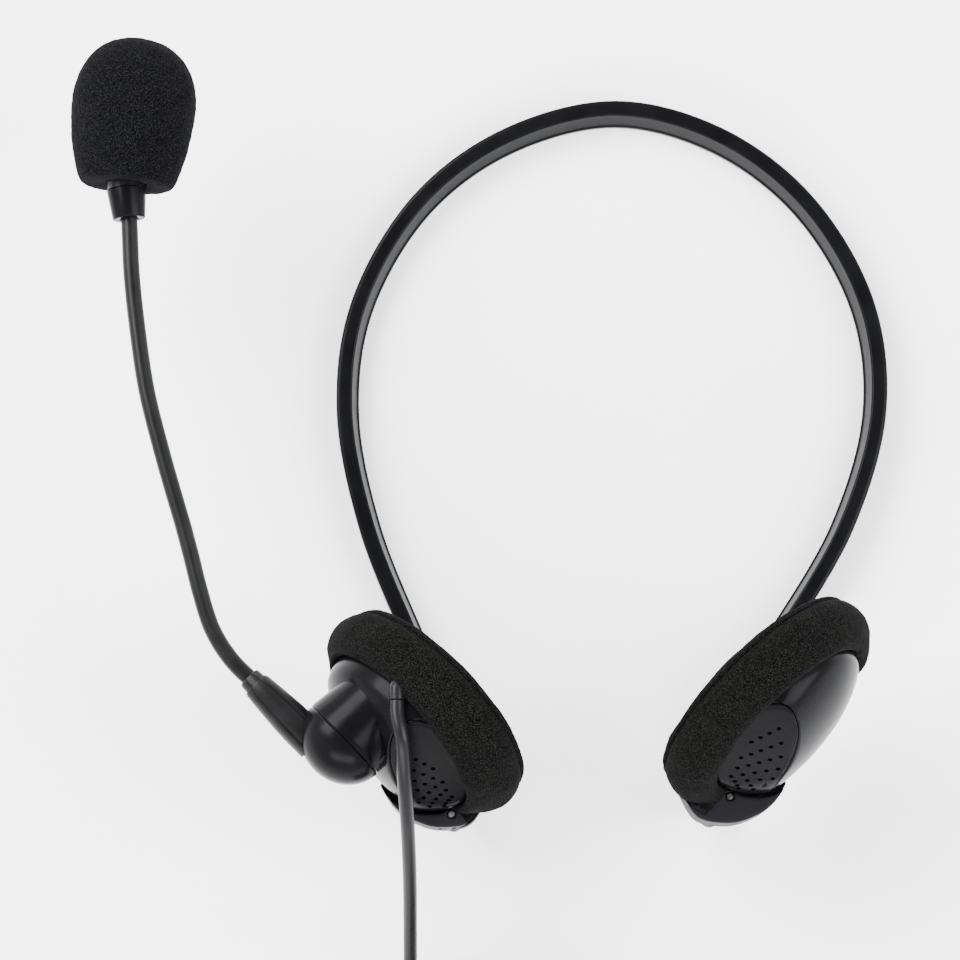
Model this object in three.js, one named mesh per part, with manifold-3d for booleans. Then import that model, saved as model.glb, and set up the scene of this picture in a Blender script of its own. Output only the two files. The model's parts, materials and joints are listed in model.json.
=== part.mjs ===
// A behind-the-neck computer headset: a springy neckband with two ear hooks, two small foam-covered
// ear cups, and a swivelling gooseneck microphone on the left cup. Millimetres, +Z up.
// It lies on a table on its band and hooks, arch towards +Y, ear cups standing on edge at -Y.

import * as THREE from "three";
import { mergeVertices } from "three/addons/utils/BufferGeometryUtils.js";
import Module from "manifold-3d";

const wasm = await Module();
wasm.setup();

// ---------------------------------------------------------------- driving dimensions

const GAP = 0.3; // clearance between neighbouring pieces

const BAND_WIDTH = 4.2;
const BAND_HEIGHT = 8;
const BAND_STEPS = 34;
// Centreline of the neckband seen from above, from the left leg over the arch to the right leg.
const BAND_PATH = [
  [-14.3, -51], [-17.9, -42.7], [-28.2, -16.7], [-33.5, 11.3], [-30.2, 36.3],
  [-15.9, 61.3], [4.7, 76.8], [30.7, 83.5], [55.2, 77.1], [75.7, 61.3],
  [89.7, 36.8], [92.4, 11.3], [84.4, -16.7], [69.1, -42.7], [66.1, -47.3],
];
const CHANNEL_WIDTH = 1.7; // slot along the underside of the band, for the spring and the lead
const CHANNEL_DEPTH = 5.6;
const SPRING_THICKNESS = 0.8;
const SPRING_HEIGHT = 3.2;
const LEAD_RADIUS = 0.5;
const SPRING_REACH = 6; // how far the spring and the lead run on into each hook arm

// Each ear cup has its own frame: x along the disc towards the back of the head, y up through the
// disc, z out of the ear. Yaw turns z from -Y towards the side, tilt lifts it from the table.
const CUP_TILT = 14;
const CUPS = {
  left: {
    side: -1, centre: [-14.15, -63.1, 42], yaw: 45,
    hookShift: 4.4, bandEnd: [8.7, -8.45], bandRun: [-0.929, 0.369],
  },
  right: {
    side: 1, centre: [61.75, -59.3, 42], yaw: 43,
    hookShift: 0, bandEnd: [11.4, -5.8], bandRun: [-0.971, 0.235],
  },
};

const ROUND = 28; // facets round the large round pieces of a cup
const HOUSING_RADIUS = 21.6;
const HOUSING_FLANGE = 25;
const DOME_CENTRE = [-4.6, 0, 4.8];
const DOME_RADII = [28, 24.5, 12.6];
const WALL = 1.8;
const GRILLE_NORMAL = new THREE.Vector3(-0.44, 0.55, 0.71).normalize();
const GRILLE_OFFSET = 15.3; // distance of the outer face of the grille from the cup's origin
const GRILLE_THICKNESS = 1.1;
const GRILLE_RIM = 0.8;
const GRILLE_BOTTOM = 8.4; // the flat of the grille starts behind the foam's lip
const HOLE_RADIUS = 0.6;
const HOLE_PITCH = 2.5;
const ROW_PITCH = 2.8;
const HOLE_ROWS = [4, 5, 5, 5, 4];
const PIVOT = [-20.6, 10.1]; // x and z of the hinge between ear cup and hook, which runs along y
const LUG_LOW = -17; // the housing's lug lies between these two heights on the hinge
const LUG_TOP = -13;
const SWING_OUT = 4; // degrees that the cup can turn on its hinge, away from the head and towards it
const SWING_IN = 8;

// The hook's knuckle seen from above, as [along the disc, level and out of the ear]: a crescent with
// upright sides that wraps round the front end of the cup.
const KNUCKLE_OUTSIDE = [
  [-26.6, 0.5], [-28.6, 6], [-29.2, 10.4], [-27, 14.2], [-22.5, 18], [-15.3, 20], [-8.2, 18.6],
];
const KNUCKLE_INSIDE = [[-8.2, 12], [-19, 4]];
const KNUCKLE_LOW = 21; // heights above the table
const KNUCKLE_TOP = 36;
const KNUCKLE_SLOT = [[-27.4, 3.6], [-25.9, 3.6], [-25.9, 8.6], [-27.4, 8.6]];

const BALL_CENTRE = [7.3, 4, 19.4]; // boom swivel, in the left cup's frame
const BALL_RADIUS = 10.5;
const SLEEVE_HEIGHT = 5.2; // from the swivel's seam to the boom's centreline
const SLEEVE_END = 24;
const TUBE_RADIUS = 1.9;
// Centreline of the gooseneck seen from above: from the sleeve to the bend, and on to the microphone.
const LOWER_TUBE = [[-57.3, -52.5], [-61.5, -45.9], [-64.4, -37.2], [-66.6, -28.7], [-68.7, -21.1]];
const BEND = [-69.4, -18.8];
const UPPER_TUBE = [
  [-73.4, -5.2], [-76.9, 8.5], [-79.1, 22.3], [-80.6, 35.3], [-81.3, 47.8], [-81.6, 50.3],
];
const MIC_BASE = [-81.3, 47.8];
const MIC_LEAN = 6; // degrees to the left of +Y
const COLLAR_LENGTH = 6.8;
const BARREL_TOP = 22;
const WINDSCREEN_BASE = 8;
const WINDSCREEN_LEAN = 11; // degrees to the right of the microphone

const CORD_RADIUS = 1.6;
const GLAND = [5.3, 21.6, 8.3]; // cable exit, in the left cup's frame
const GLAND_RUN = new THREE.Vector3(-0.7, -0.06, 0.7).normalize();
const GLAND_NOSE = 1.5;
// Centreline of the cord from the gland down to the table and on to the coil.
const CORD_PATH = [
  [-18.9, -70.7, 65.8], [-18.4, -78.7, 61.2], [-17.9, -86.7, 53.6], [-17.6, -94.7, 43.4],
  [-17.5, -102.7, 32.2], [-17.6, -110.7, 21.4], [-17.7, -117.7, 12.6], [-17.7, -124.7, 6.2],
  [-17.7, -131.7, 2.7], [-17.7, -138, 2], [-17.7, -143.2, 2.4],
];
const COIL_CENTRE = [7.1, -156.5];
const COIL_RADIUS = 19.3; // to the middle of the turns
const COIL_WIDTH = 14.6;
const COIL_BOTTOM = 1.2;
const COIL_TOP = 14.4;
const TAIL_PATH = [
  [20.4, -181.3, 12.3], [27, -182, 10.6], [34, -183, 7.2], [41, -183.6, 4.6], [48, -184, 3.9],
];
const PLUG_RADIUS = 3.8;

// ---------------------------------------------------------------- solids

// The booleans need one closed mesh with shared corners and no triangle that has shrunk to a line.
function solidOf(geometry) {
  const bare = geometry.clone();
  bare.deleteAttribute("normal");
  bare.deleteAttribute("uv");
  const merged = mergeVertices(bare, 1e-4);
  const corners = merged.index.array;
  const kept = [];
  for (let i = 0; i < corners.length; i += 3) {
    const [a, b, c] = corners.slice(i, i + 3);
    if (a !== b && b !== c && c !== a) kept.push(a, b, c);
  }
  const vertProperties = merged.attributes.position.array;
  return new wasm.Manifold(new wasm.Mesh({ numProp: 3, vertProperties, triVerts: new Uint32Array(kept) }));
}

function geometryOf(solid) {
  const mesh = solid.getMesh();
  const geometry = new THREE.BufferGeometry();
  geometry.setAttribute("position", new THREE.BufferAttribute(mesh.vertProperties, 3));
  geometry.setIndex(new THREE.BufferAttribute(mesh.triVerts, 1));
  return geometry;
}

const cut = (body, ...tools) => geometryOf(tools.reduce((s, t) => s.subtract(solidOf(t)), solidOf(body)));
const join = (body, ...more) => geometryOf(more.reduce((s, b) => s.add(solidOf(b)), solidOf(body)));
const common = (body, ...more) => geometryOf(more.reduce((s, b) => s.intersect(solidOf(b)), solidOf(body)));

// A profile of [radius, height] pairs turned about z.
function turned(profile, segments) {
  const points = profile.map(([r, z]) => new THREE.Vector2(r, z));
  return new THREE.LatheGeometry(points, segments).rotateX(Math.PI / 2);
}

// A plain round rod along z, from bottom to top.
function rod(radius, bottom, top, segments = 16, topRadius = radius) {
  return turned([[0, bottom], [radius, bottom], [topRadius, top], [0, top]], segments);
}

// An outline in x and z, extruded along y from low to high.
function slabXZ(outline, low, high) {
  const shape = new THREE.Shape(outline.map(([x, z]) => new THREE.Vector2(x, -z)));
  const slab = new THREE.ExtrudeGeometry(shape, { depth: high - low, bevelEnabled: false });
  return slab.rotateX(-Math.PI / 2).translate(0, low, 0);
}

// A flat slab whose faces lie between two distances from the origin along a normal.
function slabAcross(normal, near, far) {
  const slab = new THREE.BoxGeometry(120, 120, far - near).translate(0, 0, (near + far) / 2);
  return slab.applyQuaternion(new THREE.Quaternion().setFromUnitVectors(new THREE.Vector3(0, 0, 1), normal));
}

// A closed body through stations, each an array of the same number of points, capped at both ends.
function loft(stations) {
  const count = stations[0].length;
  const positions = stations.flat().flatMap((p) => [p.x, p.y, p.z]);
  const index = [];
  for (let s = 0; s + 1 < stations.length; s++) {
    for (let i = 0; i < count; i++) {
      const a = s * count + i;
      const b = s * count + ((i + 1) % count);
      index.push(a, b, b + count, a, b + count, a + count);
    }
  }
  const last = (stations.length - 1) * count;
  for (let i = 1; i + 1 < count; i++) {
    index.push(0, i + 1, i);
    index.push(last, last + i, last + i + 1);
  }
  const geometry = new THREE.BufferGeometry();
  geometry.setAttribute("position", new THREE.Float32BufferAttribute(positions, 3));
  geometry.setIndex(index);
  return geometry;
}

// Corners of a rounded rectangle, as [across, up] pairs from -1 to 1.
const ROUNDED = Array.from({ length: 16 }, (_, i) => {
  const angle = ((i + 0.5) / 16) * 2 * Math.PI;
  const soften = (v) => Math.sign(v) * Math.abs(v) ** 0.55;
  return [soften(Math.cos(angle)), soften(Math.sin(angle))];
});

// A strap along a curve that keeps its width level; size(t) gives [width, thickness] at each point.
function strap(curve, steps, size, across) {
  const stations = [];
  for (let i = 0; i <= steps; i++) {
    const t = i / steps;
    const centre = curve.getPointAt(t);
    const side = across(t);
    const up = new THREE.Vector3().crossVectors(side, curve.getTangentAt(t)).normalize();
    const [width, thickness] = size(t);
    stations.push(
      ROUNDED.map(([x, y]) =>
        centre.clone().addScaledVector(side, (x * width) / 2).addScaledVector(up, (-y * thickness) / 2)),
    );
  }
  return loft(stations);
}

function curveThrough(points, height) {
  return new THREE.CatmullRomCurve3(
    points.map(([x, y, z = height]) => new THREE.Vector3(x, y, z)), false, "centripetal");
}

// A section of [across, up] points drawn along a curve that stays level.
function levelSweep(section, curve, steps) {
  const shape = new THREE.Shape(section.map(([across, up]) => new THREE.Vector2(-up, across)));
  return new THREE.ExtrudeGeometry(shape, { steps, extrudePath: curve, bevelEnabled: false });
}

function circle(radius, sides) {
  return Array.from({ length: sides }, (_, i) => {
    const angle = ((i + 0.5) / sides) * 2 * Math.PI;
    return [radius * Math.cos(angle), radius * Math.sin(angle)];
  });
}

function box(width, height, across = 0, up = 0) {
  const [x, y] = [width / 2, height / 2];
  return [[-x, -y], [x, -y], [x, y], [-x, y]].map(([a, b]) => [a + across, b + up]);
}

function tube(points, radius, sides, steps, height) {
  const shape = new THREE.Shape(circle(radius, sides).map(([x, y]) => new THREE.Vector2(x, y)));
  const extrudePath = curveThrough(points, height);
  return new THREE.ExtrudeGeometry(shape, { steps, extrudePath, bevelEnabled: false });
}

// ---------------------------------------------------------------- materials and nodes

const plastic = { color: 0x0b0b0d, roughness: 0.18, metalness: 0 };
const satin = { color: 0x131315, roughness: 0.42, metalness: 0 };
const foam = { color: 0x1d1e1e, roughness: 1, metalness: 0 };
const bluishFoam = { color: 0x14151c, roughness: 1, metalness: 0 };
const steel = { color: 0x9a9da0, roughness: 0.35, metalness: 1 };
const nickel = { color: 0xcfcac0, roughness: 0.2, metalness: 1 };
const film = { color: 0xb8b4a8, roughness: 0.3, metalness: 0 };
const rubber = { color: 0x17181a, roughness: 0.55, metalness: 0 };

function node(name, geometry, finish) {
  const mesh = new THREE.Mesh(geometry, new THREE.MeshStandardMaterial(finish));
  mesh.name = name;
  return mesh;
}

// ---------------------------------------------------------------- neckband

// The band's centreline, made longer or shorter at both ends.
function bandCurve(reach) {
  const moved = ([x0, y0], [x1, y1]) => {
    const share = reach / Math.hypot(x1 - x0, y1 - y0);
    return [x1 + share * (x1 - x0), y1 + share * (y1 - y0)];
  };
  const first = moved(BAND_PATH[1], BAND_PATH[0]);
  const last = moved(BAND_PATH.at(-2), BAND_PATH.at(-1));
  return curveThrough([first, ...BAND_PATH.slice(1, -1), last], BAND_HEIGHT / 2);
}

function neckband() {
  const [x, y] = [BAND_WIDTH / 2, BAND_HEIGHT / 2];
  const bevel = 1.1;
  const slot = CHANNEL_WIDTH / 2;
  const section = [
    [-x, -y + bevel / 2], [-x + bevel / 2, -y], [-slot, -y], [-slot, -y + CHANNEL_DEPTH],
    [slot, -y + CHANNEL_DEPTH], [slot, -y], [x - bevel / 2, -y], [x, -y + bevel / 2],
    [x, y - bevel], [x - bevel, y], [-x + bevel, y], [-x, y - bevel],
  ];
  return levelSweep(section, bandCurve(-GAP), BAND_STEPS);
}

// The spring strip fills the top of the channel and the right speaker's lead runs below it.
function bandSpring() {
  const middle = -BAND_HEIGHT / 2 + CHANNEL_DEPTH - GAP - SPRING_HEIGHT / 2;
  return levelSweep(box(SPRING_THICKNESS, SPRING_HEIGHT, 0, middle), bandCurve(SPRING_REACH), BAND_STEPS);
}

function speakerLead() {
  const section = circle(LEAD_RADIUS, 6).map(([x, y]) => [x, y - BAND_HEIGHT / 2 + 1.2]);
  return levelSweep(section, bandCurve(SPRING_REACH), BAND_STEPS);
}

// ---------------------------------------------------------------- ear cup frames

function cupAxes({ side, yaw }) {
  const a = THREE.MathUtils.degToRad(yaw);
  const t = THREE.MathUtils.degToRad(CUP_TILT);
  return {
    back: new THREE.Vector3(side * Math.cos(a), Math.sin(a), 0),
    up: new THREE.Vector3(-side * Math.sin(a) * Math.sin(t), Math.cos(a) * Math.sin(t), Math.cos(t)),
    out: new THREE.Vector3(side * Math.sin(a) * Math.cos(t), -Math.cos(a) * Math.cos(t), Math.sin(t)),
    level: new THREE.Vector3(side * Math.sin(a), -Math.cos(a), 0),
  };
}

function cupMatrix(cup) {
  const { back, up, out } = cupAxes(cup);
  return new THREE.Matrix4().makeBasis(back, up, out).setPosition(...cup.centre);
}

function cupGroup(cup) {
  const group = new THREE.Group();
  group.matrixAutoUpdate = false;
  group.matrix.copy(cupMatrix(cup));
  return group;
}

// ---------------------------------------------------------------- ear hooks

// A direction or a place given as [along the disc, level and out of the ear, height], in the cup's frame.
function levelVector([along, outward, height]) {
  const t = THREE.MathUtils.degToRad(CUP_TILT);
  return new THREE.Vector3(
    along, height * Math.cos(t) - outward * Math.sin(t), outward * Math.cos(t) + height * Math.sin(t));
}

function levelPoint(cup, [along, outward, height]) {
  return levelVector([along, outward, height - cup.centre[2]]);
}

// The arm leaves the end of the band, runs level under the cup and turns up at its front end.
function hookArm(cup) {
  const [startX, startZ] = cup.bandEnd;
  const [runX, runZ] = cup.bandRun;
  const shift = cup.hookShift;
  const route = [
    [startX, startZ, 4], [startX + 6 * runX, startZ + 6 * runZ, 4.1], [-8, -0.5, 3.2],
    [shift - 18, 5, 3.3], [shift - 24, 8.4, 7.4], [shift - 25.4, 9.4, 14], [shift - 25.4, 9.8, 23.5],
  ];
  const curve = new THREE.CatmullRomCurve3(route.map((p) => levelPoint(cup, p)), false, "centripetal");
  const startAcross = levelVector([-runZ, runX, 0]);
  const endAcross = levelVector([0, -1, 0]);
  const across = (t) => startAcross.clone().lerp(endAcross, Math.min(1, t * 1.6)).normalize();
  const widen = (t) => THREE.MathUtils.smoothstep(t, 0.1, 0.7);
  const thin = (t) => THREE.MathUtils.smoothstep(t, 0, 0.3);
  const size = (t) => [BAND_WIDTH + 5.6 * widen(t), BAND_HEIGHT - 2.7 * thin(t)];
  return strap(curve, 30, size, across);
}

// The band's channel runs on into the arm, and holds the ends of the spring and the lead.
function armChannel(cup) {
  const [startX, startZ] = cup.bandEnd;
  const [runX, runZ] = cup.bandRun;
  const length = SPRING_REACH + 1;
  const slot = new THREE.BoxGeometry(length, CHANNEL_DEPTH + 1, CHANNEL_WIDTH);
  slot.translate(length / 2 - 0.5, CHANNEL_DEPTH / 2 - 0.5, 0);
  const run = levelVector([runX, runZ, 0]);
  const up = levelVector([0, 0, 1]);
  const basis = new THREE.Matrix4().makeBasis(run, up, new THREE.Vector3().crossVectors(run, up));
  return slot.applyMatrix4(basis.setPosition(levelPoint(cup, [startX, startZ, 0])));
}

function knuckleOutline() {
  const outside = new THREE.SplineCurve(KNUCKLE_OUTSIDE.map((p) => new THREE.Vector2(...p)));
  return [...outside.getPoints(22).map((p) => p.toArray()), ...KNUCKLE_INSIDE];
}

// An upright slab over a level outline of the knuckle, between two heights above the table.
function levelSlab(cup, outline, low, high) {
  const shape = new THREE.Shape(
    outline.map(([along, outward]) => new THREE.Vector2(outward, along + cup.hookShift)));
  const slab = new THREE.ExtrudeGeometry(shape, { depth: high - low, bevelEnabled: false });
  const basis = new THREE.Matrix4().makeBasis(
    levelVector([0, 1, 0]), levelVector([1, 0, 0]), levelVector([0, 0, 1]));
  return slab.applyMatrix4(basis.setPosition(levelPoint(cup, [0, 0, low])));
}

// Turns a shape about the cup's hinge; positive degrees move the disc away from the head.
function aboutPivot(geometry, degrees) {
  const [x, z] = PIVOT;
  return geometry.translate(-x, 0, -z).rotateY(THREE.MathUtils.degToRad(-degrees)).translate(x, 0, z);
}

const onPin = (geometry) => geometry.rotateX(-Math.PI / 2).translate(PIVOT[0], 0, PIVOT[1]);

// The space that the cup sweeps in front of the knuckle when it turns on the hinge.
function cupRoom() {
  const swept = [-SWING_IN, -SWING_IN / 2, 0, SWING_OUT].flatMap((degrees) => [
    aboutPivot(domeBody(-0.5), degrees), aboutPivot(rod(29.1, -12, 8.4, ROUND), degrees),
  ]);
  const lugRoom = slabXZ([
    [PIVOT[0], PIVOT[1] - 1.8], [-4, 5], [-4, 15.5], [PIVOT[0], PIVOT[1] + 2.4],
  ], LUG_LOW - GAP, LUG_TOP + GAP);
  const eyeRoom = onPin(rod(2.5, LUG_LOW - GAP, LUG_TOP + GAP, 14));
  return [...swept, lugRoom, eyeRoom];
}

function hook(cup) {
  const knuckle = levelSlab(cup, knuckleOutline(), KNUCKLE_LOW, KNUCKLE_TOP);
  const body = join(hookArm(cup), knuckle);
  const slot = levelSlab(cup, KNUCKLE_SLOT, KNUCKLE_TOP - 8, KNUCKLE_TOP + 4);
  return cut(body, ...cupRoom(), slot, onPin(rod(1.1, -19.4, 0, 12)), armChannel(cup));
}

const hookPin = () =>
  onPin(turned([[0, -19.1], [0.6, -19.1], [0.8, -18.8], [0.8, -9.2], [0.6, -8.8], [0, -8.8]], 12));

// ---------------------------------------------------------------- ear cup pieces

// The housing's outer shape: half an ellipsoid, trimmed to a round rim with a soft shoulder.
function domeBody(inset) {
  const profile = [[0, 1]];
  for (let i = 1; i <= 7; i++) {
    const angle = (i / 7) * (Math.PI / 2);
    profile.push([Math.sin(angle), Math.cos(angle)]);
  }
  profile.push([1, -0.6], [0, -0.6]);
  const [rx, ry, rz] = DOME_RADII.map((r) => r - inset);
  const ellipsoid = turned(profile.reverse(), ROUND).scale(rx, ry, rz).translate(...DOME_CENTRE);
  const shoulder = [[21.3, 8.5], [20.3, 11.8], [18.2, 14.6], [14.5, 17]];
  const rim = [[0, 1 + inset], [HOUSING_RADIUS, 1 + inset], ...shoulder, [0, 24]]
    .map(([r, z]) => [Math.max(0, r - inset * Math.sign(r)), z]);
  return common(ellipsoid, turned(rim, ROUND));
}

function lug() {
  const [x, z] = PIVOT;
  const eye = onPin(rod(2, LUG_LOW, LUG_TOP, 14));
  const arm = slabXZ([[x, z - 1], [-12, z - 0.6], [-12, z + 2.6], [x, z + 2.1]], LUG_LOW, LUG_TOP);
  return cut(join(eye, arm), onPin(rod(1.1, -30, 30, 12)));
}

function housing(cup) {
  const floor = GRILLE_OFFSET - GRILLE_THICKNESS - GAP;
  const behindLip = rod(60, GRILLE_BOTTOM, 60);
  const face = common(behindLip, slabAcross(GRILLE_NORMAL, GRILLE_OFFSET, 60));
  const pocket = common(behindLip, domeBody(GRILLE_RIM), slabAcross(GRILLE_NORMAL, floor, 60));
  const aboveRim = rod(60, GRILLE_BOTTOM + 2, 60);
  const window = common(aboveRim, domeBody(4.5), slabAcross(GRILLE_NORMAL, floor - 8, 60));
  const hollow = common(domeBody(WALL), slabAcross(GRILLE_NORMAL, -60, floor - WALL));
  const mouth = rod(HOUSING_RADIUS - WALL, -2, 3, ROUND);
  const flange = rod(HOUSING_FLANGE, 0.9, 2.9, ROUND);
  const shell = join(domeBody(0), flange, lug());
  const bare = cut(shell, face, pocket, window, hollow, mouth);
  return cup.side < 0 ? cut(bare, glandBody(GAP), screwShaft(GAP)) : bare;
}

// Rows of small holes over the front end of the grille, each row set further forward than the last.
function grilleHoles() {
  const across = new THREE.Vector3(0, 1, 0).cross(GRILLE_NORMAL).normalize();
  const along = new THREE.Vector3().crossVectors(GRILLE_NORMAL, across);
  const centre = GRILLE_NORMAL.clone().multiplyScalar(GRILLE_OFFSET - GRILLE_THICKNESS / 2);
  const turn = new THREE.Quaternion().setFromUnitVectors(new THREE.Vector3(0, 0, 1), GRILLE_NORMAL);
  return HOLE_ROWS.flatMap((count, row) =>
    Array.from({ length: count }, (_, column) => {
      const x = 2.2 - 0.25 * row * row - column * HOLE_PITCH;
      const y = 0.8 - row * ROW_PITCH;
      const at = centre.clone().addScaledVector(across, x).addScaledVector(along, y);
      return rod(HOLE_RADIUS, -1.5, 1.5, 6).applyQuaternion(turn).translate(at.x, at.y, at.z);
    }));
}

function grille(cup) {
  const inner = GRILLE_OFFSET - GRILLE_THICKNESS;
  const behindLip = rod(60, GRILLE_BOTTOM + GAP, 60);
  const sheet = slabAcross(GRILLE_NORMAL, inner, GRILLE_OFFSET);
  const plate = common(domeBody(GRILLE_RIM + GAP), behindLip, sheet);
  const open = cut(plate, ...grilleHoles());
  return cup.side < 0 ? cut(open, glandBody(GAP)) : open;
}

function baffle() {
  const plate = turned([
    [0, -2.1], [25, -2.1], [25, 0.6], [19.4, 0.6], [19.4, 2.4], [18, 2.4], [18, 0.6], [0, 0.6],
  ], ROUND);
  const holes = [rod(1.6, -4, 4, 8)];
  for (let i = 0; i < 6; i++) {
    const angle = (i / 6) * 2 * Math.PI;
    holes.push(rod(1.6, -4, 4, 8).translate(6.5 * Math.cos(angle), 6.5 * Math.sin(angle), 0));
  }
  return cut(plate, ...holes);
}

function driverFrame() {
  return turned([
    [12.4, 0.9], [17.4, 0.9], [17.4, 2.3], [14, 2.8], [9, 6.4], [9, 7.4], [7, 7.4], [7, 5.6], [12.4, 2],
    [12.4, 0.9],
  ], 24);
}

function driverDiaphragm() {
  const back = [[0, 2.6], [4.5, 2.3], [5.2, 1.5], [12, 1.2]];
  const front = [[12, 1.5], [5.5, 1.8], [4.8, 2.6], [0, 2.9]];
  return turned([...back, ...front], 24);
}

const driverMagnet = () => turned([[0, 4], [4, 4], [4, 5], [6.6, 5], [6.6, 9.6], [0, 9.6]], 24);

// A foam cap: a crowned front over the baffle, and a lip that wraps round behind the flange.
function earFoam(cup) {
  const cap = turned([
    [0, -7.8], [10, -7.5], [18, -6.2], [24.6, -4], [28, -1.2], [29, 2], [28.2, 5], [26.1, 7.1],
    [23.6, 7.8], [22.2, 7.3], [22.2, 3.3], [25.4, 3.3], [25.4, -2.5], [0, -2.5],
  ], ROUND);
  return cup.side < 0 ? cut(cap, glandBody(GAP)) : cap;
}

// ---------------------------------------------------------------- boom swivel

// The swivel's axis is level: it leans back by the cup's tilt in the cup's own frame.
function onSwivel(geometry) {
  return geometry.rotateX(THREE.MathUtils.degToRad(CUP_TILT)).translate(...BALL_CENTRE);
}

function boomSocket() {
  const drum = turned([[0, -14], [9.8, -14], [BALL_RADIUS, -GAP / 2], [0, -GAP / 2]], 32);
  const recess = rod(6, -1.4, 2, 24);
  const bore = rod(1.5, -20, 2, 12);
  return cut(onSwivel(cut(drum, recess, bore)), domeBody(-GAP));
}

function screwShaft(clearance) {
  const shaft = rod(1.1 + clearance, -11, 4, 12);
  const head = rod(2 + clearance, 4 - clearance, 5 + clearance, 12);
  return onSwivel(join(shaft, head));
}

const washer = () => onSwivel(turned([[1.5, -1.1], [5.6, -1.1], [5.6, -0.3], [1.5, -0.3], [1.5, -1.1]], 24));

function boomCap() {
  const profile = [[0, 0], [BALL_RADIUS, 0]];
  for (let i = 1; i <= 7; i++) {
    const angle = (i / 7) * (Math.PI / 2);
    profile.push([BALL_RADIUS * Math.cos(angle), BALL_RADIUS * Math.sin(angle)]);
  }
  const dome = turned(profile, 32).translate(0, 0, GAP / 2);
  const bore = rod(2.4, -1, 5.8, 12);
  const socket = alongBoom(rod(TUBE_RADIUS + GAP, 6.5, 30, 10));
  return onSwivel(cut(dome, bore, socket));
}

// Turns a shape drawn along z so that it lies along the sleeve, above the seam.
function alongBoom(geometry) {
  return geometry.rotateY(Math.PI / 2).translate(0, 0, SLEEVE_HEIGHT);
}

function sleeve() {
  const cone = turned([[0, 4], [4.2, 4], [4.1, 10], [2.5, SLEEVE_END], [0, SLEEVE_END]], 20);
  const ball = new THREE.SphereGeometry(BALL_RADIUS + GAP, 32, 20).translate(0, 0, GAP / 2);
  const seam = new THREE.BoxGeometry(60, 60, 20).translate(0, 0, -10 + GAP);
  return onSwivel(cut(alongBoom(cone), ball, seam, alongBoom(rod(TUBE_RADIUS + GAP, 0, 60, 10))));
}

const leftMatrix = cupMatrix(CUPS.left);
const swivelOnTable = new THREE.Vector3(...BALL_CENTRE).applyMatrix4(leftMatrix);

// A point on the sleeve's centreline, seen from above.
function onSleeve(distance) {
  const { back, level } = cupAxes(CUPS.left);
  const point = swivelOnTable.clone().addScaledVector(level, SLEEVE_HEIGHT).addScaledVector(back, distance);
  return [point.x, point.y];
}

// ---------------------------------------------------------------- gooseneck

function lowerTube() {
  const inSleeve = [7, 15, SLEEVE_END].map(onSleeve);
  return tube([...inSleeve, ...LOWER_TUBE], TUBE_RADIUS, 10, 18, swivelOnTable.z);
}

// The gooseneck bends about one point: the upper half ends there in a ball that clears the lower half.
function upperTube() {
  const ball = new THREE.SphereGeometry(TUBE_RADIUS, 12, 8).translate(...BEND, swivelOnTable.z);
  return join(ball, tube([BEND, ...UPPER_TUBE], TUBE_RADIUS, 10, 20, swivelOnTable.z));
}

// ---------------------------------------------------------------- microphone

// The microphone's frame: z along its axis, y down to the table.
function micGroup() {
  const lean = THREE.MathUtils.degToRad(MIC_LEAN);
  const group = new THREE.Group();
  group.position.set(...MIC_BASE, swivelOnTable.z);
  group.rotation.set(-Math.PI / 2, 0, 0);
  group.rotation.order = "ZXY";
  group.rotation.z = lean;
  return group;
}

function micCollar() {
  return turned([
    [0, 4.2], [TUBE_RADIUS + GAP, 4.2], [TUBE_RADIUS + GAP, 0], [3.5, 0], [3.7, 3.6],
    [4.45, 5], [4.45, COLLAR_LENGTH], [0, COLLAR_LENGTH],
  ], 24);
}

function micBarrel() {
  const bottom = COLLAR_LENGTH + GAP;
  const outside = [[0, bottom], [4.2, bottom], [4.2, BARREL_TOP]];
  return turned([...outside, [3.5, BARREL_TOP], [3.5, 15.5], [0, 15.5]], 24);
}

const micCapsule = () => rod(3.2, 15.8, BARREL_TOP - 0.6, 20);

function windscreen() {
  const outside = turned([
    [0, 0], [10, 0], [11, 1], [12.4, 6], [13.5, 11], [14.1, 17], [13.9, 21.5], [12.6, 26], [10.2, 29.8],
    [6.6, 32.4], [2.5, 33.6], [0, 33.7],
  ], 28);
  outside.rotateY(THREE.MathUtils.degToRad(WINDSCREEN_LEAN)).translate(0, 0, WINDSCREEN_BASE);
  return cut(outside, rod(4.2 + GAP, -5, BARREL_TOP + 1, 20));
}

// ---------------------------------------------------------------- cord

function glandBody(clearance) {
  const sleeve = rod(2.1 + clearance, -3.5 - clearance, GLAND_NOSE + clearance, 12, 1.9 + clearance);
  const turn = new THREE.Quaternion().setFromUnitVectors(new THREE.Vector3(0, 0, 1), GLAND_RUN);
  return sleeve.applyQuaternion(turn).translate(...GLAND);
}

function cordTube() {
  const start = [0, 3].map((distance) => {
    const point = new THREE.Vector3(...GLAND).addScaledVector(GLAND_RUN, GLAND_NOSE + GAP + distance);
    return point.applyMatrix4(leftMatrix).toArray();
  });
  return tube([...start, ...CORD_PATH], CORD_RADIUS, 8, 20);
}

function coil() {
  const [inner, outer] = [COIL_RADIUS - COIL_WIDTH / 2, COIL_RADIUS + COIL_WIDTH / 2];
  const ring = turned([
    [inner + 2, COIL_BOTTOM], [outer - 2, COIL_BOTTOM], [outer, COIL_BOTTOM + 2], [outer, COIL_TOP - 2],
    [outer - 2, COIL_TOP], [inner + 2, COIL_TOP], [inner, COIL_TOP - 2], [inner, COIL_BOTTOM + 2],
    [inner + 2, COIL_BOTTOM],
  ], 32);
  return ring.translate(...COIL_CENTRE, 0);
}

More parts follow.
